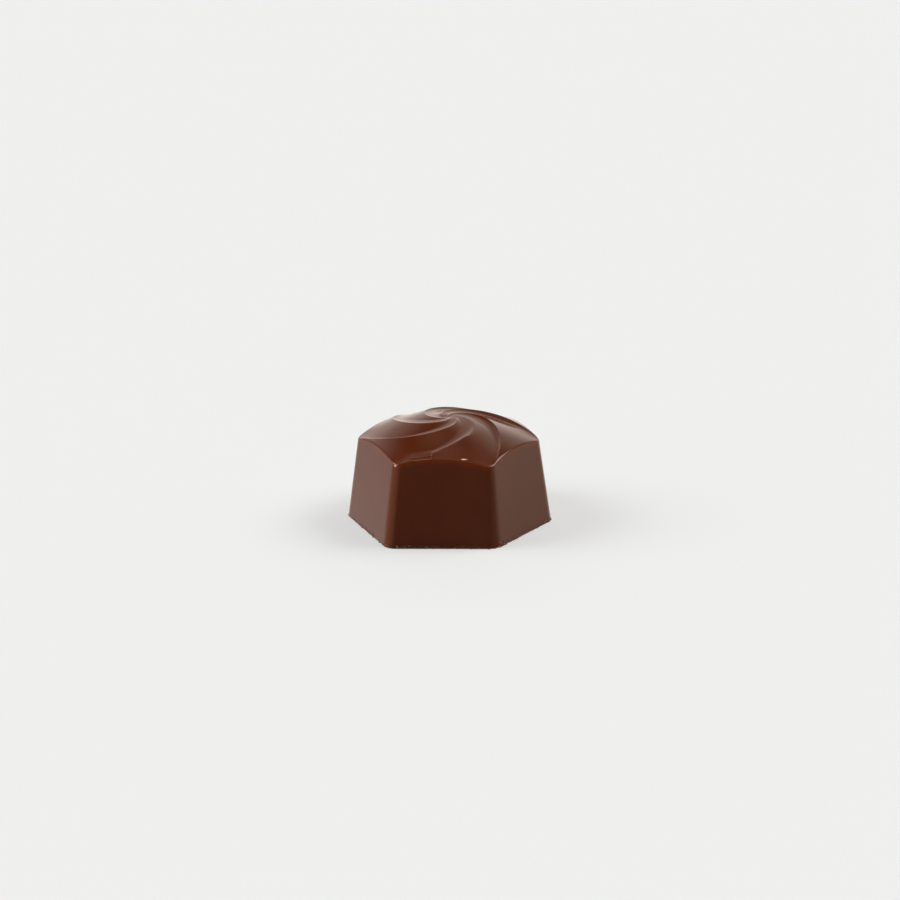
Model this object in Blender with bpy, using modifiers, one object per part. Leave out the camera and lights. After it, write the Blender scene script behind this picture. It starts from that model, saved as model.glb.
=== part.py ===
"""Chocolate praline: one moulded piece with six sloping sides and a swirled dome.

The piece stands on its flat foot at z = 0, +Z up, with the middle of the foot at the
origin and one of its six corners on +X. All lengths are in metres.

It starts as a turned blank, whose profile runs from the apex along the dome to the rim
and down the side. The blank's rings and columns are then moved to the moulded form:
the side to six flat faces with rounded corners, and the dome to six blades. Each blade
rises steeply from a crease to a crest and falls away slowly to the next crease, and
creases and crests are logarithmic spirals that end at the six corners.
"""

import math

import bmesh
import bpy
import numpy as np

NAME = "praline"

# Outline. The corner-to-corner sizes are those of the sharp hexagon, before rounding.
SIDES = 6
FOOT_ACROSS_CORNERS = 0.0300
RIM_ACROSS_CORNERS = 0.0264
CORNER_HEIGHT = 0.0117
FOOT_CORNER_ROUNDING = 0.0017
RIM_CORNER_ROUNDING = 0.0013
RIM_ROUNDING = 0.0005

# Dome: part of a ball that passes through the six corners of the rim.
DOME_RADIUS = 0.0267

# Swirl: a spiral turns by about its pitch each time the radius grows by a factor of e.
# The relief is the height from a crease to a crest where the swirl is deepest, a share
# of the way from the centre to the rim, and most of it is cut below the ball.
CREASE_PITCH = math.radians(57.0)
CREST_PITCH = math.radians(97.0)
SPIRAL_EASE = 0.09
WIDEST_RISE = math.radians(51.0)
NARROWEST_RISE = math.radians(2.0)
SWIRL_RELIEF = 0.0006
DEEPEST_SHARE = 0.615
RELIEF_BELOW_BALL = 0.71
BLADE_FALL = 1.2

# Fineness of the facets
COLUMNS_PER_SIDE = 20
CORNER_COLUMNS = 2
RISE_COLUMNS = 7
DOME_RINGS = 24
RIM_SEGMENTS = 3

CHOCOLATE_COLOUR = (0.100, 0.023, 0.008, 1.0)
CHOCOLATE_ROUGHNESS = 0.22

FOOT_RADIUS = FOOT_ACROSS_CORNERS / 2
RIM_RADIUS = RIM_ACROSS_CORNERS / 2
SECTOR = 2 * math.pi / SIDES
MERGE_DISTANCE = 0.00001
FIXED_POINT_STEPS = 20


def clear_scene():
    for obj in list(bpy.data.objects):
        bpy.data.objects.remove(obj, do_unlink=True)


def smoothstep(low, high, x):
    """0 below low, 1 above high, and 3t^2 - 2t^3 between them."""
    t = np.clip((x - low) / (high - low), 0.0, 1.0)
    return t * t * (3 - 2 * t)


def dome_height(radius):
    """Height of the ball's surface over a point this far from the axis."""
    centre = CORNER_HEIGHT - math.sqrt(DOME_RADIUS**2 - RIM_RADIUS**2)
    return centre + np.sqrt(DOME_RADIUS**2 - radius**2)


def hexagon_at(height):
    """Circumradius and corner rounding of the sloping sides' hexagon at a height."""
    share = height / CORNER_HEIGHT
    circumradius = FOOT_RADIUS + (RIM_RADIUS - FOOT_RADIUS) * share
    rounding = FOOT_CORNER_ROUNDING + (RIM_CORNER_ROUNDING - FOOT_CORNER_ROUNDING) * share
    return circumradius, rounding


def corner_half_angle(circumradius, rounding):
    """Angle, seen from the axis, from the middle of a rounded corner to its end."""
    middle = circumradius - rounding / math.cos(SECTOR / 2)
    across = rounding * math.sin(SECTOR / 2)
    return np.arctan2(across, middle + rounding * math.cos(SECTOR / 2))


def outline_radius(angle, height):
    """Polar radius of the sides at a height: a hexagon, rounded, with a corner at 0.

    Near a corner it is the far crossing of a ray with the corner's circle,
    m cos t + sqrt(r^2 - m^2 sin^2 t), and elsewhere the distance to the flat side.
    """
    circumradius, rounding = hexagon_at(height)
    turn = np.abs((angle + SECTOR / 2) % SECTOR - SECTOR / 2)
    middle = circumradius - rounding / math.cos(SECTOR / 2)
    inside = np.maximum(rounding**2 - (middle * np.sin(turn)) ** 2, 0.0)
    corner = middle * np.cos(turn) + np.sqrt(inside)
    flat = circumradius * math.cos(SECTOR / 2) / np.cos(SECTOR / 2 - turn)
    return np.where(turn < corner_half_angle(circumradius, rounding), corner, flat)


def side_angle(column, height):
    """Polar angle of a column of the side: even steps round a corner and along a flat."""
    half = corner_half_angle(*hexagon_at(height))
    stops = [0, CORNER_COLUMNS, COLUMNS_PER_SIDE - CORNER_COLUMNS, COLUMNS_PER_SIDE]
    sector = np.floor(column / COLUMNS_PER_SIDE)
    place = column - sector * COLUMNS_PER_SIDE
    first = half * place / stops[1]
    along = half + (SECTOR - 2 * half) * (place - stops[1]) / (stops[2] - stops[1])
    last = SECTOR - half * (stops[3] - place) / (stops[3] - stops[2])
    turn = np.where(place < stops[1], first, np.where(place > stops[2], last, along))
    return sector * SECTOR + turn


def rim_at(angle):
    """Radius and height where the dome meets the sloping side in this direction."""
    height = np.full_like(angle, CORNER_HEIGHT)
    for _ in range(FIXED_POINT_STEPS):
        radius = outline_radius(angle, height)
        height = dome_height(radius)
    return radius, height


def spiral_turn(pitch, radius):
    """Turn of a spiral from its corner: pitch times the logarithm of rim over radius."""
    share = radius / RIM_RADIUS
    return pitch * np.log((1 + SPIRAL_EASE) / (share + SPIRAL_EASE))


def rise_width(radius):
    """Angle from a crease to its crest, eased to WIDEST_RISE towards the centre."""
    free = spiral_turn(CREST_PITCH - CREASE_PITCH, radius)
    return np.maximum(WIDEST_RISE * np.tanh(free / WIDEST_RISE), NARROWEST_RISE)


def relief_at(share):
    """Height from crease to crest: share^a (1 - share), over its value at the deepest.

    It is nothing at the centre and at the rim, and a = d / (1 - d) puts the peak at d.
    """
    power = DEEPEST_SHARE / (1 - DEEPEST_SHARE)
    peak = DEEPEST_SHARE**power * (1 - DEEPEST_SHARE)
    return SWIRL_RELIEF * share**power * (1 - share) / peak


def swirl_height(turn, radius, share):
    """Height of the blades over the ball.

    turn is the angle past the crease. The blade climbs as 1 - (1 - t)^2 to its crest
    and falls as 1 - t^BLADE_FALL to the next crease.
    """
    width = rise_width(radius)
    climb = 1 - (1 - np.clip(turn / width, 0, 1)) ** 2
    fall = 1 - np.clip((turn - width) / (SECTOR - width), 0, 1) ** BLADE_FALL
    blade = np.where(turn < width, climb, fall)
    return relief_at(share) * (blade - RELIEF_BELOW_BALL)


def dome_points(share, column):
    """Points of the dome for a share of the way to the rim and a column number.

    Columns 0 to RISE_COLUMNS cover the rise and the others the blade. Towards the rim
    they move over to the columns of the side. Rings change from circles to the outline.
    """
    sector = np.floor(column / COLUMNS_PER_SIDE)
    place = column - sector * COLUMNS_PER_SIDE
    to_side = smoothstep(0.75, 1.0, share)
    at_side = side_angle(column, CORNER_HEIGHT) - sector * SECTOR
    radius = share * RIM_RADIUS
    for _ in range(FIXED_POINT_STEPS):
        width = rise_width(radius)
        on_rise = width * place / RISE_COLUMNS
        blade_place = (place - RISE_COLUMNS) / (COLUMNS_PER_SIDE - RISE_COLUMNS)
        on_blade = width + (SECTOR - width) * blade_place
        turn = np.where(place < RISE_COLUMNS, on_rise, on_blade)
        turn = turn + (at_side - turn) * to_side
        angle = sector * SECTOR + turn + spiral_turn(CREASE_PITCH, radius)
        rim_radius, _ = rim_at(angle)
        squareness = smoothstep(0.3, 1.0, share)
        radius = share * (RIM_RADIUS + (rim_radius - RIM_RADIUS) * squareness)
    height = dome_height(radius) + swirl_height(turn, radius, share)
    return radius, angle, height


def foot_points(column):
    """Radius and angle of the foot's outline in this column."""
    angle = side_angle(column, 0.0)
    return outline_radius(angle, 0.0), angle


def turned_blank():
    """A round blank: the profile from apex to foot, turned about Z by a Screw modifier."""
    shares = [ring / DOME_RINGS for ring in range(DOME_RINGS + 1)]
    profile = [(share * RIM_RADIUS, dome_height(share * RIM_RADIUS)) for share in shares]
    profile += [(FOOT_RADIUS, 0.0), (0.0, 0.0)]

    mesh = bpy.data.meshes.new(NAME + "_profile")
    points = [(radius, 0.0, height) for radius, height in profile]
    mesh.from_pydata(points, [(i, i + 1) for i in range(len(points) - 1)], [])
    blank = bpy.data.objects.new(NAME + "_blank", mesh)
    bpy.context.scene.collection.objects.link(blank)

    screw = blank.modifiers.new("turn", "SCREW")
    screw.axis = "Z"
    screw.steps = SIDES * COLUMNS_PER_SIDE
    screw.render_steps = screw.steps
    screw.use_merge_vertices = True
    screw.merge_threshold = MERGE_DISTANCE

    graph = bpy.context.evaluated_depsgraph_get()
    turned = bpy.data.meshes.new_from_object(blank.evaluated_get(graph))
    bpy.data.objects.remove(blank, do_unlink=True)
    bpy.data.meshes.remove(mesh)
    return turned


def mould(mesh):
    """Moves the blank's points to the moulded form."""
    place = np.empty(len(mesh.vertices) * 3)
    mesh.vertices.foreach_get("co", place)
    x, y, z = place.reshape(-1, 3).T
    radius = np.hypot(x, y)
    columns = SIDES * COLUMNS_PER_SIDE
    column = np.round(np.arctan2(y, x) / (2 * math.pi) * columns) % columns

    on_axis = radius < MERGE_DISTANCE
    on_foot = z < CORNER_HEIGHT / 2
    share = np.clip(radius / RIM_RADIUS, 0, 1)
    new_radius, angle, height = dome_points(share, column)
    foot_radius, foot_angle = foot_points(column)
    new_radius = np.where(on_foot, foot_radius, new_radius)
    angle = np.where(on_foot, foot_angle, angle)
    height = np.where(on_foot, 0.0, height)
    new_radius = np.where(on_axis, 0.0, new_radius)

    moved = np.stack([new_radius * np.cos(angle), new_radius * np.sin(angle), height], 1)
    mesh.vertices.foreach_set("co", moved.ravel())
    mesh.update()


def round_rim(mesh):
    """Rounds the edge where the dome meets the sides, and splits all faces in triangles."""
    shape = bmesh.new()
    shape.from_mesh(mesh)
    rim = [edge for edge in shape.edges if is_rim(edge)]
    bmesh.ops.bevel(
        shape,
        geom=rim,
        offset=RIM_ROUNDING,
        segments=RIM_SEGMENTS,
        profile=0.5,
        affect="EDGES",
    )
    bmesh.ops.triangulate(shape, faces=shape.faces, quad_method="SHORT_EDGE")
    bmesh.ops.recalc_face_normals(shape, faces=shape.faces)
    shape.to_mesh(mesh)
    shape.free()


def is_rim(edge):
    """True for an edge with the steep side on one hand and the dome on the other."""
    steep = [abs(face.normal.z) < 0.5 for face in edge.link_faces]
    high = all(vert.co.z > CORNER_HEIGHT / 2 for vert in edge.verts)
    return high and sorted(steep) == [False, True]


def chocolate():
    material = bpy.data.materials.new("chocolate")
    material.use_nodes = True
    shader = material.node_tree.nodes["Principled BSDF"]
    shader.inputs["Base Color"].default_value = CHOCOLATE_COLOUR
    shader.inputs["Roughness"].default_value = CHOCOLATE_ROUGHNESS
    shader.inputs["Metallic"].default_value = 0.0
    return material


def praline():
    mesh = turned_blank()
    mesh.name = NAME
    mould(mesh)
    round_rim(mesh)
    mesh.shade_smooth()
    mesh.set_sharp_from_angle(angle=math.radians(40.0))
    mesh.materials.clear()
    mesh.materials.append(chocolate())
    return bpy.data.objects.new(NAME, mesh)


def main():
    clear_scene()
    parts = bpy.data.collections.new("chocolate_praline")
    bpy.context.scene.collection.children.link(parts)
    parts.objects.link(praline())


main()
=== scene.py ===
# %% [markdown]
# # A moulded chocolate praline
# The real sweet is cast in a glossy mould: six sloping flat sides, a domed top cut into six
# swirling blades, and a foot that was the open side of the mould and was scraped level with
# a knife. So the top and the sides shine, and the edge of the foot is a little rough.
#
# The frame holds the plain solid at its real size. This lesson replaces it with a fine skin
# of the same form, adds the small marks of casting and scraping, and gives it a chocolate
# finish, a floor, soft light and a camera.

import math

import bpy
import numpy as np
from mathutils import Matrix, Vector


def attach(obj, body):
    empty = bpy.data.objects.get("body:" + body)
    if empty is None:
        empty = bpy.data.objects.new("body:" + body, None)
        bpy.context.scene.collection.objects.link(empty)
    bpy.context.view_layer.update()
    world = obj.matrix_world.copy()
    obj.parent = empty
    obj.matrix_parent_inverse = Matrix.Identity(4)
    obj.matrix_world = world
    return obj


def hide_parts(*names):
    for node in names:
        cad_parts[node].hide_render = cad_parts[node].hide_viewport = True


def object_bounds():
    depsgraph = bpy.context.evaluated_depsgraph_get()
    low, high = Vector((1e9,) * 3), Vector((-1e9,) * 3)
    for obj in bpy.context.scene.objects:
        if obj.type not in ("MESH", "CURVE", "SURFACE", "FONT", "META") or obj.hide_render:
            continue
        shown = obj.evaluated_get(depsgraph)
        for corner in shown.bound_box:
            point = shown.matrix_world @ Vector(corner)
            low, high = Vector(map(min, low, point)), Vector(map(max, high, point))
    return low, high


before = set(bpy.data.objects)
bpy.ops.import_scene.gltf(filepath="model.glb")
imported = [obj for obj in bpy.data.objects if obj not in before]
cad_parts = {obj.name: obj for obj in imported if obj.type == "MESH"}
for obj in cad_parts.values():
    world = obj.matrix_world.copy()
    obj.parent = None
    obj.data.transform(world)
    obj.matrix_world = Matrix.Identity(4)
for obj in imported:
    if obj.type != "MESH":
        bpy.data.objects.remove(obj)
cad_low, cad_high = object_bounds()
print("frame box in mm:", *[round(1000 * value, 2) for value in (*cad_low, *cad_high)])

# %% [markdown]
# ## The driving sizes
# The mould is a hexagon with a ball for a lid, so a few sizes fix it all. The foot's
# hexagon follows from the width of the frame across two flat sides, and the top from its
# height. The rim and the ball are shares of the foot's radius, and the roundings, which
# come from the mould maker's tools, are given in millimetres.

# %% Sizes of the mould
MM = 0.001
SIDES = 6
SECTOR = 2 * math.pi / SIDES
FOOT_RADIUS = (cad_high.y - cad_low.y) / 2 / math.cos(SECTOR / 2)
RIM_RADIUS = 0.88 * FOOT_RADIUS
DOME_RADIUS = 1.78 * FOOT_RADIUS
TOP = cad_high.z
BALL_CENTRE = TOP - DOME_RADIUS
CORNER_HEIGHT = BALL_CENTRE + math.sqrt(DOME_RADIUS**2 - RIM_RADIUS**2)
FOOT_CORNER_ROUNDING = 2.1 * MM
RIM_CORNER_ROUNDING = 1.6 * MM
RIM_ROUNDING = 0.21 * MM
FOOT_ROLL = 0.3 * MM
print("foot radius", FOOT_RADIUS / MM, "rim", RIM_RADIUS / MM, "corner height", CORNER_HEIGHT / MM)

# %% [markdown]
# ## The hexagon with rounded corners
# A level cut through the sides is a hexagon whose corners are arcs. It could be drawn and
# beveled, but a skin with its own columns is easier to join to the swirl if the outline
# is a formula: the distance from the axis as a function of the direction.

# %% Outline of the sides
RIM_STEPS = 12


def smoothstep(low, high, x):
    """0 below low, 1 above high, and 3t^2 - 2t^3 between them."""
    t = np.clip((x - low) / (high - low), 0.0, 1.0)
    return t * t * (3 - 2 * t)


def dome_height(radius):
    """Height of the ball over a point this far from the axis: centre + sqrt(R^2 - r^2)."""
    return BALL_CENTRE + np.sqrt(DOME_RADIUS**2 - radius**2)


def hexagon_at(height):
    """Circumradius and corner rounding at a height: both change evenly from foot to rim."""
    share = height / CORNER_HEIGHT
    circumradius = FOOT_RADIUS + (RIM_RADIUS - FOOT_RADIUS) * share
    rounding = FOOT_CORNER_ROUNDING + (RIM_CORNER_ROUNDING - FOOT_CORNER_ROUNDING) * share
    return circumradius, rounding


def corner_half_angle(height):
    """Angle, seen from the axis, from the middle of a rounded corner to its end."""
    circumradius, rounding = hexagon_at(height)
    middle = circumradius - rounding / math.cos(SECTOR / 2)
    across = rounding * math.sin(SECTOR / 2)
    return np.arctan2(across, middle + rounding * math.cos(SECTOR / 2))


def outline_radius(angle, height):
    """Distance from the axis: m cos t + sqrt(r^2 - m^2 sin^2 t) round a corner's circle,
    and apothem / cos(30 degrees - t) along a flat side, t being the angle to the corner."""
    circumradius, rounding = hexagon_at(height)
    turn = np.abs((angle + SECTOR / 2) % SECTOR - SECTOR / 2)
    middle = circumradius - rounding / math.cos(SECTOR / 2)
    inside = np.maximum(rounding**2 - (middle * np.sin(turn)) ** 2, 0.0)
    corner = middle * np.cos(turn) + np.sqrt(inside)
    flat = circumradius * math.cos(SECTOR / 2) / np.cos(SECTOR / 2 - turn)
    return np.where(turn < corner_half_angle(height), corner, flat)


def rim_at(angle):
    """Radius and height where ball and side meet, by walking to and fro between them."""
    height = np.full_like(angle, CORNER_HEIGHT)
    for _ in range(RIM_STEPS):
        radius = outline_radius(angle, height)
        height = dome_height(radius)
    return radius, height


print("rim at a corner and mid-side, mm:", *np.round(np.array(rim_at(np.array([0, SECTOR / 2]))) / MM, 2))

# %% [markdown]
# ## The swirl
# Each of the six blades rises steeply from a crease to a crest and falls away slowly to
# the next crease. Both lines are spirals that end in a corner of the rim: the crest turns
# faster towards the middle, so the rise between them widens on the way in. The relief is
# greatest about two thirds of the way out and fades at the centre and at the rim. The
# swirl isn't quite regular: two blades have a narrower rise outside, and four of the
# spirals bend a little to one side.

# %% Swirl of six blades
CREASE_PITCH = math.radians(57.0)
CREST_PITCH = math.radians(97.0)
SPIRAL_EASE = 0.09
WIDEST_RISE = math.radians(51.0)
NARROWEST_RISE = math.radians(2.0)
NARROWER_OUTSIDE = np.array([0.20, 0.0, 0.0, 0.0, 0.0, 0.38])
NARROWER_BETWEEN = (0.3, 0.62)
SWIRL_RELIEF = 0.6 * MM
DEEPEST_SHARE = 0.615
RELIEF_BELOW_BALL = 0.71
RISE_POWER = 2.3
RISE_PAST_CREST = 1.5
BLADE_FALL = 0.95
CREST_SOFTNESS = 0.10
FILL_LEVEL = 0.12
LINE_SHIFT = np.radians([-6.0, -3.0, 6.0, 11.0, 0.0, 0.0])


def spiral_turn(pitch, radius):
    """Turn of a spiral from its corner: pitch times the logarithm of rim over radius."""
    return pitch * np.log((1 + SPIRAL_EASE) / (radius / RIM_RADIUS + SPIRAL_EASE))


def rise_width(radius, blade):
    """Angle from a crease to its crest, eased to WIDEST_RISE towards the centre."""
    free = spiral_turn(CREST_PITCH - CREASE_PITCH, radius)
    narrower = NARROWER_OUTSIDE[blade] * smoothstep(*NARROWER_BETWEEN, radius / RIM_RADIUS)
    width = WIDEST_RISE * np.tanh(free / WIDEST_RISE) * (1 - narrower)
    return np.maximum(width, NARROWEST_RISE)


def line_shift(turn, blade, share):
    """Turn that bends a spiral: 4s (1 - s), most halfway out, and evened between two lines."""
    here, after = LINE_SHIFT[blade], LINE_SHIFT[(blade + 1) % SIDES]
    return (here + (after - here) * turn / SECTOR) * 4 * share * (1 - share)


def relief_at(share):
    """Height from crease to crest: share^a (1 - share), over its value at the deepest."""
    power = DEEPEST_SHARE / (1 - DEEPEST_SHARE)
    peak = DEEPEST_SHARE**power * (1 - DEEPEST_SHARE)
    return SWIRL_RELIEF * share**power * (1 - share) / peak


def swirl_height(turn, width, share, softness, filled):
    """Height over the ball: t^RISE_POWER up the rise, 1 - t^BLADE_FALL down the blade.
    Where the two cross, (k - |rise - blade|)^2 / 4k comes off, which rounds the crest.
    Where the mould was filled, the relief is level instead."""
    rise = np.clip(turn / width, 0, RISE_PAST_CREST) ** RISE_POWER
    blade = 1 - np.clip((turn - width) / (SECTOR - width), 0, 1) ** BLADE_FALL
    near = np.maximum(softness - np.abs(rise - blade), 0)
    profile = np.minimum(rise, blade) - near**2 / (4 * softness)
    profile = profile + (FILL_LEVEL - profile) * filled
    return relief_at(share) * (profile - RELIEF_BELOW_BALL)


print("rise width in degrees at 2, 6 and 10 mm:",
      *np.round(np.degrees(rise_width(np.array([2.0, 6.0, 10.0]) * MM, 1)), 1))

# %% [markdown]
# ## Marks of the casting
# No two sweets come out of a mould alike. This one has a small pit where the blades meet,
# and one blade's crest is dull near the centre. Beside one corner a crest stopped short: a
# strip along the rim was filled level, with a step at its end, a small hollow and fine
# ridges. Such marks could be sculpted, but as formulas of the place on the plan they come
# out the same on any grid. The pit, the hollow and the ridges are heights added to the
# dome, and where the mould was filled, the relief of the swirl is levelled.

# %% Casting marks
PIT_PLACE = (-0.35 * MM, 0.15 * MM)
PIT_RADIUS = 0.80 * MM
PIT_DEPTH = 0.17 * MM
STRIP_START = -5.9 * MM
STRIP_END = -1.50 * MM
STRIP_REACH = 1.2 * MM
STRIP_FADED = 2.3 * STRIP_REACH
HOLLOW_START = -4.7 * MM
HOLLOW_FROM_RIM = (0.16 * MM, 0.72 * MM)
HOLLOW_DEPTH = 0.06 * MM
STEP_LENGTH = 0.16 * MM
STRIP_RAMP = 12 * STEP_LENGTH
HOLLOW_RAMP = 8 * STEP_LENGTH
DULL_BLADE = 4
DULL_SHARE = 0.53
DULL_EDGE = 0.03
DULL_SOFTNESS = 0.9
DULL_FILL = 0.45
DULL_FILL_FROM = 0.5 * DULL_SHARE
FILL_EDGE = 0.3
RIDGE_WIDTH = 0.10 * MM
RIDGES = [
    # start and end on the plan and height, in mm
    (-4.60, -10.48, -1.95, -10.72, 0.025),
    (-1.58, -11.05, -1.62, -10.55, 0.030),
    (-1.62, -10.40, -2.40, -10.36, 0.015),
]


def front_rim_distance(x, y):
    """How far a point of the plan lies behind the middle of the rim's front side."""
    front = np.full_like(x, -math.pi / 2)
    radius, _ = rim_at(front)
    return y + radius


def strip_share(x, behind):
    """1 on the filled strip along the front rim, 0 off it, with a short step at its end."""
    along = smoothstep(STRIP_START, STRIP_START + STRIP_RAMP, x)
    along = along * (1 - smoothstep(STRIP_END - STEP_LENGTH, STRIP_END, x))
    return along * (1 - smoothstep(STRIP_REACH, STRIP_FADED, behind))


def dull_part(blade, share):
    """1 on one blade inside DULL_SHARE of the way to the rim, where its crest is dull."""
    return (blade == DULL_BLADE) * (1 - smoothstep(DULL_SHARE - DULL_EDGE, DULL_SHARE, share))


def dull_fill(blade, share, across):
    """DULL_FILL inside the dull part, less on the way out and towards either crease."""
    fading = (blade == DULL_BLADE) * (1 - smoothstep(DULL_FILL_FROM, DULL_SHARE, share))
    return DULL_FILL * fading * smoothstep(0, FILL_EDGE, across) * smoothstep(0, FILL_EDGE, 1 - across)


def ridge_height(x, y, ridge):
    """h exp(-(s/w)^2), s being the distance to the nearest point of a straight line."""
    start_x, start_y, end_x, end_y, height = (value * MM for value in ridge)
    along = (x - start_x) * (end_x - start_x) + (y - start_y) * (end_y - start_y)
    along = np.clip(along / ((end_x - start_x) ** 2 + (end_y - start_y) ** 2), 0, 1)
    side = np.hypot(x - start_x - along * (end_x - start_x), y - start_y - along * (end_y - start_y))
    return height * np.exp(-((side / RIDGE_WIDTH) ** 2))


def marks_height(x, y):
    """Heights of the pit, -d exp(-(s/r)^2), of the strip's hollow and of its ridges."""
    away = np.hypot(x - PIT_PLACE[0], y - PIT_PLACE[1]) / PIT_RADIUS
    height = -PIT_DEPTH * np.exp(-(away**2))
    behind = front_rim_distance(x, y)
    near_side, far_side = HOLLOW_FROM_RIM
    hollow = smoothstep(near_side, near_side + STEP_LENGTH, behind)
    hollow = hollow * (1 - smoothstep(far_side - STEP_LENGTH, far_side, behind))
    hollow = hollow * smoothstep(HOLLOW_START, HOLLOW_START + HOLLOW_RAMP, x)
    height = height - HOLLOW_DEPTH * hollow * strip_share(x, behind)
    return height + sum(ridge_height(x, y, ridge) for ridge in RIDGES)


# %% [markdown]
# ## A grid over the dome
# Rows run from the centre to the rim, and columns follow the blades: some cover the rise
# and the rest the blade's back, and they crowd together at the crest, which is sharp.
# Towards the rim the columns slide over to those of the sides, evenly spaced round each
# corner and along each flat, and the rows change from circles to the hexagon.

# %% Dome grid
COLUMNS_PER_SIDE = 80
CORNER_COLUMNS = 8
RISE_COLUMNS = 26
DOME_ROWS = 112
CROWDING = 1.35
SIDE_COLUMNS_FROM = 0.8
HEXAGON_FROM = 0.3
SETTLING_STEPS = 24


def side_angle(column, height):
    """Direction of a column of the side: even steps round a corner and along a flat."""
    half = corner_half_angle(height)
    flat_end = COLUMNS_PER_SIDE - CORNER_COLUMNS
    sector = np.floor(column / COLUMNS_PER_SIDE)
    place = column - sector * COLUMNS_PER_SIDE
    first = half * place / CORNER_COLUMNS
    along = half + (SECTOR - 2 * half) * (place - CORNER_COLUMNS) / (flat_end - CORNER_COLUMNS)
    last = SECTOR - half * (COLUMNS_PER_SIDE - place) / CORNER_COLUMNS
    turn = np.where(place < CORNER_COLUMNS, first, np.where(place > flat_end, last, along))
    return sector * SECTOR + turn


def dome_grid(share, column):
    """Points of the dome: the ball plus swirl and marks, at share of the way to the rim.
    A spiral's turn and its radius depend on each other, so they are settled in steps."""
    sector = np.floor(column / COLUMNS_PER_SIDE)
    blade = sector.astype(int)
    place = column - sector * COLUMNS_PER_SIDE
    before_crest = np.clip(1 - place / RISE_COLUMNS, 0, 1)
    after_crest = np.clip((place - RISE_COLUMNS) / (COLUMNS_PER_SIDE - RISE_COLUMNS), 0, 1)
    to_side = smoothstep(SIDE_COLUMNS_FROM, 1.0, share)
    at_side = side_angle(column, CORNER_HEIGHT) - sector * SECTOR
    squareness = smoothstep(HEXAGON_FROM, 1.0, share)
    radius = share * RIM_RADIUS + 0 * column
    for _ in range(SETTLING_STEPS):
        width = rise_width(radius, blade)
        turn = width * (1 - before_crest**CROWDING) + (SECTOR - width) * after_crest**CROWDING
        turn = turn + (at_side - turn) * to_side
        angle = sector * SECTOR + turn + spiral_turn(CREASE_PITCH, radius)
        angle = angle + line_shift(turn, blade, share)
        rim_radius, _ = rim_at(angle)
        radius = share * (RIM_RADIUS + (rim_radius - RIM_RADIUS) * squareness)
    x, y = radius * np.cos(angle), radius * np.sin(angle)
    softness = CREST_SOFTNESS + (DULL_SOFTNESS - CREST_SOFTNESS) * dull_part(blade, share)
    strip = strip_share(x, front_rim_distance(x, y))
    filled = np.maximum(strip, dull_fill(blade, share, turn / SECTOR))
    swirl = swirl_height(turn, width, share, softness, filled)
    return np.stack([x, y, dome_height(radius) + swirl + marks_height(x, y)], -1)


columns = np.arange(SIDES * COLUMNS_PER_SIDE, dtype=float)
dome_shares = np.arange(1, DOME_ROWS + 1) / DOME_ROWS * (1 - RIM_ROUNDING / RIM_RADIUS)
dome = dome_grid(dome_shares[:, None], columns[None, :])
print("dome grid", dome.shape, "top", round(dome[..., 2].max() / MM, 2), "mm")

# %% [markdown]
# ## Rim, sides and rolled foot
# The edge between dome and side is an arc: a quadratic curve that leaves the dome along
# its last row and enters the flat side, with the sharp edge as its middle control point.
# The side then runs straight down, in rows that crowd together towards its scraped lower
# edge, which the knife left a little rolled.

# %% Rim, sides and foot
RIM_ROWS = 10
SIDE_ROWS = 34
SIDE_CROWDING = 1.6
ROLL_ROWS = 8


def curve_rows(start, middle, end, rows):
    """Rows on a quadratic curve: (1 - t)^2 start + 2 t (1 - t) middle + t^2 end."""
    t = (np.arange(1, rows + 1) / rows)[:, None, None]
    return (1 - t) ** 2 * start + 2 * t * (1 - t) * middle + t**2 * end


def on_side(height):
    """Points of the side, one for each column, at one height."""
    angle = side_angle(columns, height)
    radius = outline_radius(angle, height)
    return np.stack([radius * np.cos(angle), radius * np.sin(angle), 0 * radius + height], -1)


rim_angle = side_angle(columns, CORNER_HEIGHT)
rim_radius, rim_height = rim_at(rim_angle)
sharp_rim = np.stack([rim_radius * np.cos(rim_angle), rim_radius * np.sin(rim_angle), rim_height], -1)
foot_edge = on_side(0.0)
down = (foot_edge - sharp_rim) / np.linalg.norm(foot_edge - sharp_rim, axis=-1, keepdims=True)
rim_end = sharp_rim + RIM_ROUNDING * down
rim = curve_rows(dome[-1], sharp_rim, rim_end, RIM_ROWS)

roll_start = foot_edge - down * FOOT_ROLL
t = (np.arange(1, SIDE_ROWS + 1) / SIDE_ROWS)[:, None, None]
side = rim_end + (roll_start - rim_end) * (1 - (1 - t) ** SIDE_CROWDING)
roll_end = foot_edge * [1, 1, 0] * (1 - FOOT_ROLL / FOOT_RADIUS)
roll = curve_rows(roll_start, foot_edge, roll_end, ROLL_ROWS)
print("rim, side and roll rows:", len(rim), len(side), len(roll))

# %% [markdown]
# ## Corners out of true
# A sweet warps a little as it cools and is knocked out of the mould, so no two corners are
# quite alike. A lattice could bend the mesh, but a shift for each corner of the foot and of
# the rim is simpler: a point between two corners moves by a share of each. The largest
# shift is at the corner where the knife left the mould. All of them fade towards the
# dome's middle.

# %% Corners out of true
FOOT_SHIFTS = MM * np.array([
    # x, y and z at each corner, from the right one round to the front right one
    [-0.10, -0.26, 0.0],
    [0.0, 0.0, 0.0],
    [0.0, 0.0, 0.0],
    [0.06, 0.04, 0.0],
    [-0.19, -0.09, 0.0],
    [0.02, 0.75, 0.0],
])
RIM_SHIFTS = MM * np.array([
    [-0.19, 0.0, 0.16],
    [0.0, 0.0, 0.0],
    [0.0, 0.0, 0.0],
    [-0.03, 0.0, 0.0],
    [0.05, 0.0, -0.07],
    [0.18, 0.0, -0.13],
])
SHIFT_FADE = 3


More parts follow.
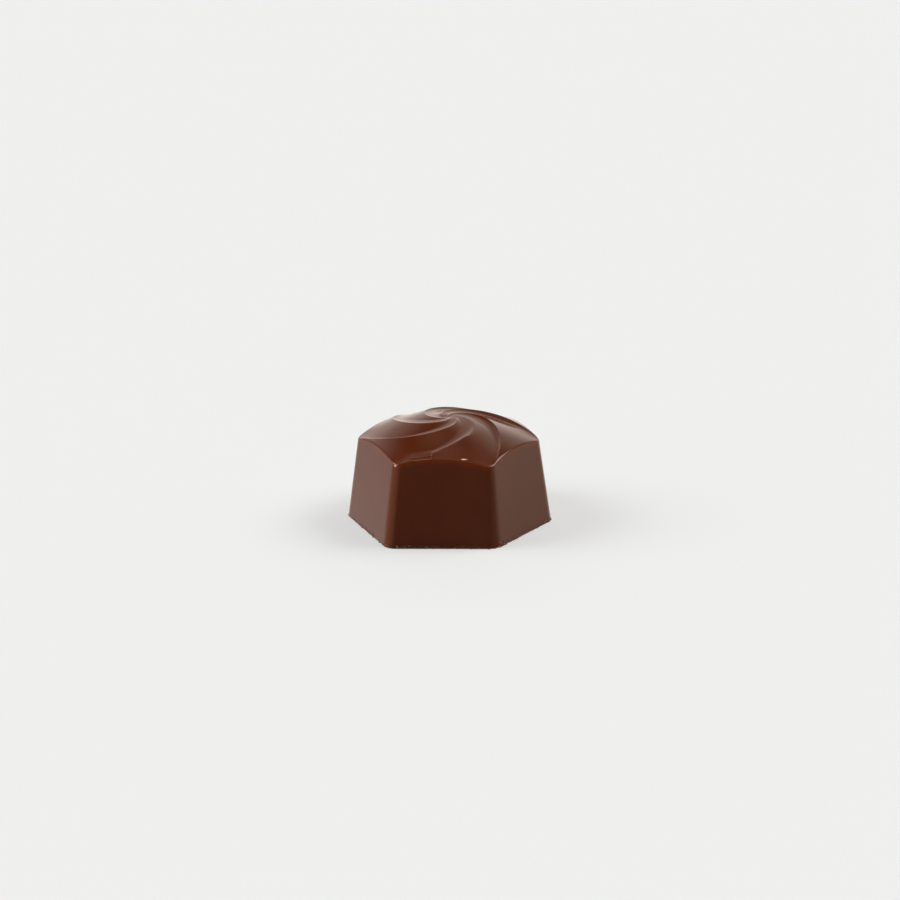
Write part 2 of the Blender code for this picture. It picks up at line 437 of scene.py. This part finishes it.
def out_of_true(points):
    """Shifts by (1 - t) of one corner's and t of the next one's, t running along the side."""
    angle = np.arctan2(points[..., 1], points[..., 0]) % (2 * math.pi)
    sector = np.floor(angle / SECTOR)
    from_middle = angle - (sector + 0.5) * SECTOR
    t = (0.5 + 0.5 * np.tan(from_middle) / math.tan(SECTOR / 2))[..., None]
    corner = sector.astype(int) % SIDES
    after = (corner + 1) % SIDES
    up = np.clip(points[..., 2] / CORNER_HEIGHT, 0, 1)[..., None]
    at_foot = (1 - t) * FOOT_SHIFTS[corner] + t * FOOT_SHIFTS[after]
    at_rim = (1 - t) * RIM_SHIFTS[corner] + t * RIM_SHIFTS[after]
    reach = RIM_RADIUS * math.cos(SECTOR / 2) / np.cos(from_middle)
    share = np.clip(np.hypot(points[..., 0], points[..., 1]) / reach, 0, 1)[..., None]
    return points + ((1 - up) * at_foot + up * at_rim) * share**SHIFT_FADE


shift_lengths = np.linalg.norm(np.concatenate([FOOT_SHIFTS, RIM_SHIFTS]), axis=1)
print("largest shift", round(shift_lengths.max() / MM, 2), "mm")

# %% [markdown]
# ## Roughness in the mesh
# Scraped chocolate is grainy. A lattice of seeded random numbers, blended smoothly between
# its points, gives a soft noise, and a few sizes of it added up give the grain. It is
# worked out on whole arrays, and the same seed gives the same sweet each time.

# %% Noise on arrays
LATTICE = 32
LATTICE_SEED = 11
lattice = np.random.default_rng(LATTICE_SEED).uniform(-1, 1, (LATTICE, LATTICE, LATTICE))
print("noise lattice", lattice.shape)


def soft_noise(points, size):
    """Random values at the corners of cubes of this size, blended by 3t^2 - 2t^3."""
    scaled = points / size
    cell = np.floor(scaled).astype(int)
    t = scaled - cell
    t = t * t * (3 - 2 * t)
    total = 0.0
    for corner in np.ndindex(2, 2, 2):
        weight = np.prod(np.where(np.array(corner) == 1, t, 1 - t), axis=-1)
        index = (cell + corner) % LATTICE
        total = total + weight * lattice[index[..., 0], index[..., 1], index[..., 2]]
    return total


def grain(points, size, layers=3):
    """Soft noise, plus half as much at half the size, and so on."""
    return sum(soft_noise(points, size / 2**k) / 2**k for k in range(layers))


# %% [markdown]
# ## The scraped underside
# The knife drew the soft chocolate across the open mould, which left long fine ridges, a
# few burst bubbles, and a slight hollow in the middle where it shrank as it set. The rows
# close in from the rolled edge to the centre, and no height is below the floor.

# %% Underside
FOOT_ROWS = 36
SCRAPE_ANGLE = math.radians(24.0)
SCRAPE_STRETCH = 12
RIDGE_SPACING = 0.9 * MM
RIDGE_HEIGHT = 0.035 * MM
HOLLOW_HEIGHT = 0.12 * MM
BUBBLE_COUNT = 26
BUBBLE_SEED = 23
BUBBLE_DEPTH = 0.16 * MM
BUBBLE_REACH = 0.9 * FOOT_RADIUS


def underside_height(x, y, share):
    """A hollow h (1 - s^4), ridges from noise stretched along the scrape, and bubbles."""
    along = x * math.cos(SCRAPE_ANGLE) + y * math.sin(SCRAPE_ANGLE)
    across = y * math.cos(SCRAPE_ANGLE) - x * math.sin(SCRAPE_ANGLE)
    stretched = np.stack([along / SCRAPE_STRETCH, across, 0 * across], -1)
    ridges = np.abs(grain(stretched, RIDGE_SPACING, 2)) * RIDGE_HEIGHT
    height = HOLLOW_HEIGHT * (1 - share**4) + ridges * (1 - share**12)
    draw = np.random.default_rng(BUBBLE_SEED)
    turns = draw.uniform(0, 2 * math.pi, BUBBLE_COUNT)
    reaches = BUBBLE_REACH * np.sqrt(draw.uniform(0.02, 0.7, BUBBLE_COUNT))
    radii = draw.uniform(0.12, 0.45, BUBBLE_COUNT) * MM
    for turn, reach, radius in zip(turns, reaches, radii):
        gap = np.hypot(x - reach * np.cos(turn), y - reach * np.sin(turn))
        height = height + BUBBLE_DEPTH * (1 - smoothstep(0.5 * radius, 1.2 * radius, gap))
    return height


foot_shares = (np.arange(FOOT_ROWS - 1, 0, -1) / FOOT_ROWS)[:, None] + 0 * columns
foot_plan = roll_end[None] * foot_shares[..., None]
foot_height = underside_height(foot_plan[..., 0], foot_plan[..., 1], foot_shares)
foot = np.stack([foot_plan[..., 0], foot_plan[..., 1], foot_height], -1)
centre_height = float(underside_height(np.zeros(1), np.zeros(1), np.zeros(1))[0])
print("underside from", foot_height.min() / MM, "to", foot_height.max() / MM, "mm")

# %% [markdown]
# ## One closed skin
# All rows are stacked from the dome's centre to the foot's centre. Each row joins the next
# with four-cornered faces, the last column joins the first, and a point at either end
# closes the skin with a fan. The grain of the scraped edge pushes the rows near the foot
# outwards and inwards by a few hundredths of a millimetre. Two numbers go with each point
# for the finish: how scraped it is, and how near the rim, where an orange glow is painted
# into the colour for light soaking through the thin edge.

# %% Skin from rows
SCRAPE_REACH = 0.55 * MM
SCRAPE_FULL = 0.35
SCRAPE_UNEVENNESS = 0.45
SCRAPE_WAVES = 1.6 * MM
SCRAPE_GRAIN = 0.05 * MM
GRAIN_SIZE = 0.35 * MM
EDGE_BAND = (0.9, 0.97)
GLOW_REACH = 0.42 * MM


def closed_faces(rows, width):
    """Faces of a grid of rows that closes round and has a point before and after it."""
    row = 1 + width * np.arange(rows - 1)[:, None]
    here = np.arange(width)[None, :]
    after = (here + 1) % width
    squares = np.stack([row + here, row + width + here, row + width + after, row + after], -1)
    here, after = here[0], after[0]
    start = np.stack([0 * here, 1 + here, 1 + after], -1)
    last = 1 + width * (rows - 1)
    end = np.stack([0 * here + rows * width + 1, last + after, last + here], -1)
    return squares.reshape(-1, 4), start, end


def piece_from(name, points, squares, fans):
    """A smooth-shaded piece of these points and faces, with its object at the origin."""
    mesh = bpy.data.meshes.new(name)
    mesh.from_pydata(points.tolist(), [], squares.tolist() + fans.tolist())
    mesh.shade_smooth()
    piece = bpy.data.objects.new(name, mesh)
    bpy.context.scene.collection.objects.link(piece)
    return piece


def scrape_share(points):
    """1 at the foot's edge and underside, fading to 0 above an uneven line."""
    line = SCRAPE_REACH * (1 + SCRAPE_UNEVENNESS * grain(points * [1, 1, 0], SCRAPE_WAVES))
    return 1 - smoothstep(SCRAPE_FULL * line, line, points[..., 2])


def keep_values(piece, name, at_top, values, at_bottom):
    """Keeps one number for each point of the skin as an attribute of its mesh."""
    attribute = piece.data.attributes.new(name, "FLOAT", "POINT")
    numbers = np.concatenate([[at_top], values.ravel(), [at_bottom]])
    attribute.data.foreach_set("value", numbers.astype(np.float32))


rows = np.concatenate([dome, rim, side, roll, foot])
# Painted light: nearness to the sharp rim, which sets how much orange glow is painted into the colour.
painted_rim_glow = np.exp(-((np.linalg.norm(rows - sharp_rim, axis=-1) / GLOW_REACH) ** 2))
outward = rows * [1, 1, 0] / np.linalg.norm(rows * [1, 1, 0], axis=-1, keepdims=True)
scrape = scrape_share(rows)
foot_reach = np.hypot(foot_edge[:, 0], foot_edge[:, 1])
on_edge = scrape * smoothstep(*EDGE_BAND, np.hypot(rows[..., 0], rows[..., 1]) / foot_reach)
rows = rows + outward * (SCRAPE_GRAIN * on_edge * grain(rows, GRAIN_SIZE))[..., None]
rows = out_of_true(rows)
points = np.concatenate([[[0, 0, TOP]], rows.reshape(-1, 3), [[0, 0, centre_height]]])
points[0, 2] += float(marks_height(np.zeros(1), np.zeros(1))[0])
squares, start, end = closed_faces(rows.shape[0], rows.shape[1])
skin = piece_from("praline_skin", points, squares, np.concatenate([start, end]))
keep_values(skin, "scraped", 0.0, scrape, 1.0)
keep_values(skin, "painted_rim_glow", 0.0, painted_rim_glow, 0.0)
print("skin:", len(points), "points,", 2 * len(squares) + len(start) + len(end), "triangles")

# %% [markdown]
# ## Many small balls in one mesh
# Crumbs and beads are both small balls, some of them uneven or long. A ball could be added
# as an object of its own each time, but many equal grids in one array make one piece at
# once: the faces of one ball are repeated for all, each time counting from its first point.

# %% Balls
def unit_ball(rows, columns):
    """Points (sin a cos b, sin a sin b, cos a) on a grid of angles, and a pole at each end."""
    latitude = math.pi * (np.arange(rows) + 1) / (rows + 1)
    longitude = 2 * math.pi * np.arange(columns) / columns
    x = np.outer(np.sin(latitude), np.cos(longitude))
    y = np.outer(np.sin(latitude), np.sin(longitude))
    z = np.outer(np.cos(latitude), np.ones(columns))
    grid = np.stack([x, y, z], -1).reshape(-1, 3)
    return np.concatenate([[[0, 0, 1]], grid, [[0, 0, -1]]])


def piece_of_balls(name, balls, rows, columns):
    """One piece of balls that all have this grid, from an array of ball, point and x, y, z."""
    squares, start, end = closed_faces(rows, columns)
    first_point = balls.shape[1] * np.arange(len(balls))[:, None, None]
    squares = (first_point + squares[None]).reshape(-1, 4)
    fans = (first_point + np.concatenate([start, end])[None]).reshape(-1, 3)
    print(name, "has", len(balls), "balls and", 2 * len(squares) + len(fans), "triangles")
    return piece_from(name, balls.reshape(-1, 3), squares, fans)


# %% [markdown]
# ## Crumbs on the lower edge
# The knife left crumbs a tenth to a quarter of a millimetre across on the edge of the foot.
# Each is a small ball whose radius is uneven, a little sunk in the side. A third of them
# lie heaped by the corner where the knife left the mould. None reaches below the floor.

# %% Crumbs
CRUMB_COUNT = 180
HEAPED_CRUMBS = 60
HEAP_MIDDLE = math.radians(308.0)
HEAP_SPREAD = math.radians(9.0)
HEAP_HIGHER = 1.6
CRUMB_SEED = 5
CRUMB_ROWS = 5
CRUMB_COLUMNS = 8
CRUMB_BAND = 0.45
CRUMB_SUNK = 0.3
draw = np.random.default_rng(CRUMB_SEED)
crumb_angle = draw.uniform(0, 2 * math.pi, CRUMB_COUNT)
crumb_angle[:HEAPED_CRUMBS] = HEAP_MIDDLE + HEAP_SPREAD * draw.normal(size=HEAPED_CRUMBS)
crumb_height = draw.uniform(0.03, 1.0, CRUMB_COUNT) ** 1.5 * CRUMB_BAND * MM
crumb_height[:HEAPED_CRUMBS] *= HEAP_HIGHER
crumb_radius = (0.04 + 0.095 * draw.uniform(0, 1, CRUMB_COUNT) ** 2) * MM
crumb_out = outline_radius(crumb_angle, crumb_height) - CRUMB_SUNK * crumb_radius
crumb_height = np.maximum(crumb_height, 0.9 * crumb_radius)
crumb_place = out_of_true(np.stack(
    [crumb_out * np.cos(crumb_angle), crumb_out * np.sin(crumb_angle), crumb_height], -1
))


def crumb_points():
    """A ball at each crumb's place, each of its points and each of its axes scaled by its
    own random factor."""
    ball = unit_ball(CRUMB_ROWS, CRUMB_COLUMNS)
    size = crumb_radius[:, None, None] * draw.uniform(0.7, 1.3, (CRUMB_COUNT, len(ball), 1))
    size = size * draw.uniform(0.6, 1.25, (CRUMB_COUNT, 1, 3))
    return crumb_place[:, None, :] + size * ball[None]


crumb_balls = crumb_points()
crumb_balls[..., 2] = np.maximum(crumb_balls[..., 2], 0.0)
crumbs = piece_of_balls("praline_crumbs", crumb_balls, CRUMB_ROWS, CRUMB_COLUMNS)

# %% [markdown]
# ## Beads on the top
# Three tiny beads stand on the top, two at the front rim and one further back, and their
# pale colour is a painted glint. Each is a long ball sunk in the skin to its middle, so only
# its upper half shows. It sits at the height of the skin's nearest point.

# %% Beads
DROP_ROWS = 14
DROP_COLUMNS = 24
DROPS = [
    # x and y on the plan, half the length, width and height in mm, turn in degrees
    (2.93, -10.90, 0.48, 0.16, 0.08, 4.0),
    (-6.45, -11.28, 0.17, 0.15, 0.12, 0.0),
    (3.96, 5.05, 0.12, 0.10, 0.06, 30.0),
]


def long_ball(x, y, half_length, half_width, half_height, turn):
    """A ball stretched three ways, turned by (x cos t - y sin t, x sin t + y cos t) and
    set on the nearest point of the top."""
    along, across, up = (unit_ball(DROP_ROWS, DROP_COLUMNS) * [half_length, half_width, half_height]).T
    turn = math.radians(turn)
    turned_x = along * math.cos(turn) - across * math.sin(turn)
    turned_y = along * math.sin(turn) + across * math.cos(turn)
    top_points = rows[:DOME_ROWS + RIM_ROWS].reshape(-1, 3)
    nearest = np.argmin(np.hypot(top_points[:, 0] - x * MM, top_points[:, 1] - y * MM))
    place = np.array([x * MM, y * MM, top_points[nearest, 2]])
    return np.stack([turned_x, turned_y, up], -1) * MM + place


drop_balls = np.stack([long_ball(*drop) for drop in DROPS])
drops = piece_of_balls("praline_drops", drop_balls, DROP_ROWS, DROP_COLUMNS)
print("tops of the beads at", *np.round(drop_balls[:, 0, 2] / MM, 2), "mm")

# %% [markdown]
# ## Shader maths as Python
# A wire wraps one output of a node. Python's operators on a wire add Math nodes, so a
# formula for a finish reads like a formula. Every other node comes from one method, which
# takes its type, its settings, and the values or wires of its sockets.

# %% Wires and trees
class Wire:
    """An output of a node. Arithmetic on it adds Math nodes to the same tree."""

    def __init__(self, bench, socket):
        self.bench = bench
        self.socket = socket

    def maths(self, operation, *values):
        """A Math node on these values or wires, in the order of its sockets."""
        return self.bench.node("Math", {"operation": operation}, dict(enumerate(values)))

    def __add__(self, other):
        return self.maths("ADD", self, other)

    def __sub__(self, other):
        return self.maths("SUBTRACT", self, other)

    def __rsub__(self, other):
        return self.maths("SUBTRACT", other, self)

    def __mul__(self, other):
        return self.maths("MULTIPLY", self, other)

    __radd__ = __add__
    __rmul__ = __mul__

    def step(self, low, high):
        """A smooth step from 0 at low to 1 at high."""
        settings = {"interpolation_type": "SMOOTHSTEP"}
        return self.bench.node("MapRange", settings, {0: self, 1: low, 2: high})


class Bench:
    """A node tree, with one method that adds any node to it."""

    def __init__(self, tree):
        self.tree = tree

    def node(self, kind, settings=None, sockets=None, output=0):
        """Adds a node of this type, sets it, fills its sockets and gives one output."""
        node = self.tree.nodes.new("ShaderNode" + kind)
        for name, value in (settings or {}).items():
            setattr(node, name, value)
        self.fill(node, sockets or {})
        return Wire(self, node.outputs[output])

    def fill(self, node, sockets):
        """Links the sockets that get a wire, and sets the others."""
        for name, value in sockets.items():
            if isinstance(value, Wire):
                self.tree.links.new(value.socket, node.inputs[name])
            else:
                node.inputs[name].default_value = value

    def mix(self, factor, first, second):
        """A colour between two: the first at factor 0, the second at 1."""
        return self.node("Mix", {"data_type": "RGBA"}, {0: factor, 6: first, 7: second}, 2)


# %% [markdown]
# ## Milk chocolate
# Cocoa butter that set against a polished mould is glossy and almost even: a warm brown
# with faint clouds in it, and a surface that swims very slightly in the highlights. Light
# soaks through the thin edge of the rim, which looks more orange there. Subsurface light
# would show that too, but it is slow, so an orange glow is painted into the colour by the
# nearness to the rim. Where the knife scraped it, the fat has no gloss, and broken grains
# show paler and pinkish. Just above the floor, where the edge curls under, a dark band is
# painted shade. The beads are pale yellow and shiny: their pale colour is a painted glint.

# %% Chocolate finish
CHOCOLATE = (0.100, 0.0178, 0.0028, 1)
CHOCOLATE_CLOUD = (0.108, 0.0195, 0.0033, 1)
# Painted light: the orange glow at the thin rim, standing in for light soaking through.
PAINTED_RIM_GLOW_BROWN = (0.155, 0.0255, 0.0028, 1)
SCRAPED_DARK = (0.085, 0.018, 0.007, 1)
SCRAPED_PALE = (0.21, 0.080, 0.055, 1)
GLOSS_ROUGHNESS = 0.17
GLOSS_DRIFT = 0.06
SCRAPED_ROUGHNESS = 0.5
BEAD_ROUGHNESS = 0.12
SWIM_HEIGHT = 0.010 * MM
SKIN_GRAIN_HEIGHT = 0.0006 * MM
TORN_HEIGHT = 0.05 * MM
# Painted shade: a dark band in the lowest 0.2 mm, where the curled-under edge faces the floor.
PAINTED_SHADE_BAND = (0.05 * MM, 0.20 * MM)
PAINTED_SHADE_BROWN = (0.030, 0.006, 0.003, 1)
PAINTED_SHADE_SHARE = 0.8
CRUMB_PALE = (0.36, 0.17, 0.12, 1)
# Painted highlight: the beads' pale colour stands in for glints on the rim and top.
PAINTED_GLINT_PALE = (0.98, 0.68, 0.42, 1)


def noise_wire(bench, place, per_mm, detail=2.0):
    """Noise with this many lumps in a millimetre, on the object's own coordinates."""
    sockets = {"Vector": place, "Scale": per_mm / MM, "Detail": detail}
    return bench.node("TexNoise", None, sockets)


def chocolate():
    """Glossy brown with clouds and a painted orange glow near the rim, mixed with the scraped finish by
    how scraped a point is, and darkened by painted shade just above the floor.
    """
    material = bpy.data.materials.new("milk_chocolate")
    material.use_nodes = True
    bench = Bench(material.node_tree)
    place = bench.node("TexCoord", output="Object")
    scraped = bench.node("Attribute", {"attribute_name": "scraped"}, output="Fac")

    clouds = noise_wire(bench, place, 0.22).step(0.3, 0.7)
    smooth_colour = bench.mix(clouds, CHOCOLATE, CHOCOLATE_CLOUD)
    # Painted light: an orange glow painted into the colour near the rim, standing in for light soaking
    # through.
    painted_glow_share = bench.node("Attribute", {"attribute_name": "painted_rim_glow"}, output="Fac")
    smooth_colour = bench.mix(painted_glow_share, smooth_colour, PAINTED_RIM_GLOW_BROWN)
    flecks = noise_wire(bench, place, 4.5, 3.0).step(0.52, 0.66)
    rough_colour = bench.mix(flecks, SCRAPED_DARK, SCRAPED_PALE)
    dust = noise_wire(bench, place, 2.2).step(0.35, 0.6)
    colour = bench.mix(scraped * dust, smooth_colour, rough_colour)
    # Painted shade: the colour darkens towards the floor in the lowest 0.2 mm, where the curled edge is
    # in shade.
    above_floor = bench.node("SeparateXYZ", None, {0: place}, "Z")
    colour = bench.mix((1 - above_floor.step(*PAINTED_SHADE_BAND)) * PAINTED_SHADE_SHARE, colour, PAINTED_SHADE_BROWN)

    swim = noise_wire(bench, place, 0.5, 1.0) * SWIM_HEIGHT
    skin_grain = noise_wire(bench, place, 7.0) * SKIN_GRAIN_HEIGHT
    torn = noise_wire(bench, place, 5.0, 4.0) * scraped * TORN_HEIGHT
    height = swim + skin_grain + torn
    bump = bench.node("Bump", None, {"Strength": 1.0, "Distance": 1.0, "Height": height})
    roughness = GLOSS_ROUGHNESS + scraped * (SCRAPED_ROUGHNESS - GLOSS_ROUGHNESS)
    roughness = roughness + (noise_wire(bench, place, 0.8) - 0.5) * GLOSS_DRIFT

    shader = material.node_tree.nodes["Principled BSDF"]
    bench.fill(shader, {"Base Color": colour, "Roughness": roughness, "Normal": bump, "IOR": 1.5})
    return material


def crumb_chocolate():
    """Dull broken chocolate, from dark brown to a dusty pink."""
    material = bpy.data.materials.new("crumb_chocolate")
    material.use_nodes = True
    bench = Bench(material.node_tree)
    place = bench.node("TexCoord", output="Object")
    pale = noise_wire(bench, place, 1.5).step(0.4, 0.6)
    colour = bench.mix(pale, SCRAPED_DARK, CRUMB_PALE)
    shader = material.node_tree.nodes["Principled BSDF"]
    bench.fill(shader, {"Base Color": colour, "Roughness": SCRAPED_ROUGHNESS})
    return material


def painted_glint_finish():
    """Pale shiny finish; the pale colour is a painted glint."""
    material = bpy.data.materials.new("painted_glint_finish")
    material.use_nodes = True
    bench = Bench(material.node_tree)
    shader = material.node_tree.nodes["Principled BSDF"]
    bench.fill(shader, {"Base Color": PAINTED_GLINT_PALE, "Roughness": BEAD_ROUGHNESS})
    return material


skin.data.materials.append(chocolate())
crumbs.data.materials.append(crumb_chocolate())
drops.data.materials.append(painted_glint_finish())
for piece in (skin, crumbs, drops):
    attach(piece, "root")
    print(piece.name, "is finished in", piece.data.materials[0].name)
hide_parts("praline")

# %% [markdown]
# ## Floor
# The sweet stands on a pale floor that runs out of view. A matt floor alone would get a
# heavy shadow, so half of what the camera sees of it is a glow, which keeps the shadow as
# pale as on a light table. The floor's colour evens out the tint of the lights, and
# reflections don't see the floor: they see the light that comes from below instead.

# %% Floor
FLOOR_REACH = 3.0
FLOOR_COLOUR = (0.86, 0.94, 0.99, 1)
FLOOR_BRIGHTNESS = 0.90
FLOOR_GLOW = 0.5


def pale_floor():
    """A square at the sweet's foot: matt, and part glow where the camera looks at it."""
    mesh = bpy.data.meshes.new("floor")
    corners = [(-1, -1), (1, -1), (1, 1), (-1, 1)]
    mesh.from_pydata([(FLOOR_REACH * x, FLOOR_REACH * y, 0) for x, y in corners], [], [(0, 1, 2, 3)])
    floor = bpy.data.objects.new("floor", mesh)
    bpy.context.scene.collection.objects.link(floor)
    material = bpy.data.materials.new("floor")
    material.use_nodes = True
    bench = Bench(material.node_tree)
    seen = bench.node("LightPath", output="Is Camera Ray")
    sockets = {"Color": (1, 1, 1, 1), "Strength": FLOOR_BRIGHTNESS}
    glow = bench.node("Emission", None, sockets)
    matt = bench.node("BsdfDiffuse", None, {"Color": FLOOR_COLOUR})
    mixed = bench.node("MixShader", None, {0: seen * FLOOR_GLOW, 1: matt, 2: glow})
    bench.fill(material.node_tree.nodes["Material Output"], {"Surface": mixed})
    mesh.materials.append(material)
    floor.visible_glossy = False
    return floor


pale_floor()
print("floor", 2 * FLOOR_REACH, "m wide")

# %% [markdown]
# ## Light
# Small glossy things show the room around them, so the room is what lights this one: a
# strong soft light high on each side, weaker ones above and behind, and darkness in front,
# so that the front stays deep brown while the sides shine. Lamps could do it, but patches
# of sky are smoother: each is a coloured disc with a soft edge, a smooth step of the angle
# to its middle, and their colours are summed. Four have their middle below the floor's
# level. What lies below it shows only as a reflection in the sweet, and stands in for the
# light that a pale table throws back. The camera itself sees a plain pale backdrop.

# %% Light
LIGHTS = [
    # azimuth from the front and elevation, inner and outer half-angle in degrees, colour
    (-85, 36, 6, 26, (5.50, 5.35, 5.20)),
    (104, 49, 6, 23, (6.45, 5.90, 5.40)),
    (-160, -22, 30, 88, (0.58, 0.49, 0.48)),
    (150, -45, 40, 105, (0.62, 0.59, 0.49)),
    (-65, -25, 10, 60, (1.05, 0.54, 0.33)),
    (0, -30, 20, 70, (0.04, 0.07, 0.07)),
    (117, 85, 4, 32, (0.52, 0.42, 0.34)),
    (-155, 32, 8, 24, (0.28, 0.24, 0.20)),
    (168, 44, 6, 18, (0.32, 0.28, 0.22)),
]
AMBIENT = (0.015, 0.014, 0.012)


def toward(azimuth, elevation):
    """Unit vector at these angles in degrees, azimuth 0 being the front, -Y."""
    turn, lift = math.radians(azimuth), math.radians(elevation)
    return (math.sin(turn) * math.cos(lift), -math.cos(turn) * math.cos(lift), math.sin(lift))


def studio():
    """A world whose colour is the ambient light plus, for each light, its colour times the
    smooth step of the dot product between the ray and the light's middle."""
    world = bpy.data.worlds.new("studio")
    bpy.context.scene.world = world
    world.use_nodes = True
    bench = Bench(world.node_tree)
    direction = bench.node("TexCoord", output="Generated")
    total = AMBIENT
    for azimuth, elevation, inner, outer, colour in LIGHTS:
        sockets = {0: direction, 1: toward(azimuth, elevation)}
        nearness = bench.node("VectorMath", {"operation": "DOT_PRODUCT"}, sockets, "Value")
        step = nearness.step(math.cos(math.radians(outer)), math.cos(math.radians(inner)))
        total = bench.node("VectorMath", {"operation": "MULTIPLY_ADD"}, {0: step, 1: colour, 2: total})
    seen = bench.node("LightPath", output="Is Camera Ray")
    background = world.node_tree.nodes["Background"]
    backdrop = (FLOOR_BRIGHTNESS, FLOOR_BRIGHTNESS, FLOOR_BRIGHTNESS, 1)
    bench.fill(background, {"Color": bench.mix(seen, total, backdrop), "Strength": 1.0})
    return world


studio()
bpy.context.scene.view_settings.view_transform = "Standard"
print(len(LIGHTS), "patches of light")

# %% [markdown]
# ## Camera
# The camera looks down on the sweet from the front with a long lens, a little turned so
# that one more side shows. It circles the middle of the piece, and the picture is moved
# over by shifting the camera itself, not its lens.

# %% Camera
AZIMUTH = math.radians(4.83)
ELEVATION = math.radians(18.63)
ROLL = math.radians(-0.43)
DISTANCE = 300 * MM
AIM_HEIGHT = 6.0 * MM
ASIDE = 0.09 * MM
ABOVE = 3.98 * MM
SENSOR = 36.0
PICTURE = 900
FOCAL_PIXELS = 2104


def place_camera():
    """Stands the camera back along its line of sight, rolls it, and moves it aside and up."""
    back = np.array(toward(math.degrees(AZIMUTH), math.degrees(ELEVATION)))
    level_right = np.cross(-back, [0, 0, 1.0])
    level_right = level_right / np.linalg.norm(level_right)
    level_up = np.cross(level_right, -back)
    right = level_right * math.cos(ROLL) + level_up * math.sin(ROLL)
    up = level_up * math.cos(ROLL) - level_right * math.sin(ROLL)
    place = back * DISTANCE + np.array([0, 0, AIM_HEIGHT]) + right * ASIDE + up * ABOVE
    camera = bpy.data.cameras.new("camera")
    camera.sensor_width = SENSOR
    camera.lens = FOCAL_PIXELS / PICTURE * SENSOR
    camera.clip_start = 0.01
    holder = bpy.data.objects.new("camera", camera)
    bpy.context.scene.collection.objects.link(holder)
    matrix = np.eye(4)
    matrix[:3] = np.stack([right, up, back, place], 1)
    holder.matrix_world = Matrix(matrix.tolist())
    bpy.context.scene.camera = holder
    print("camera lens", round(camera.lens, 1), "mm at", np.round(place, 3))


place_camera()
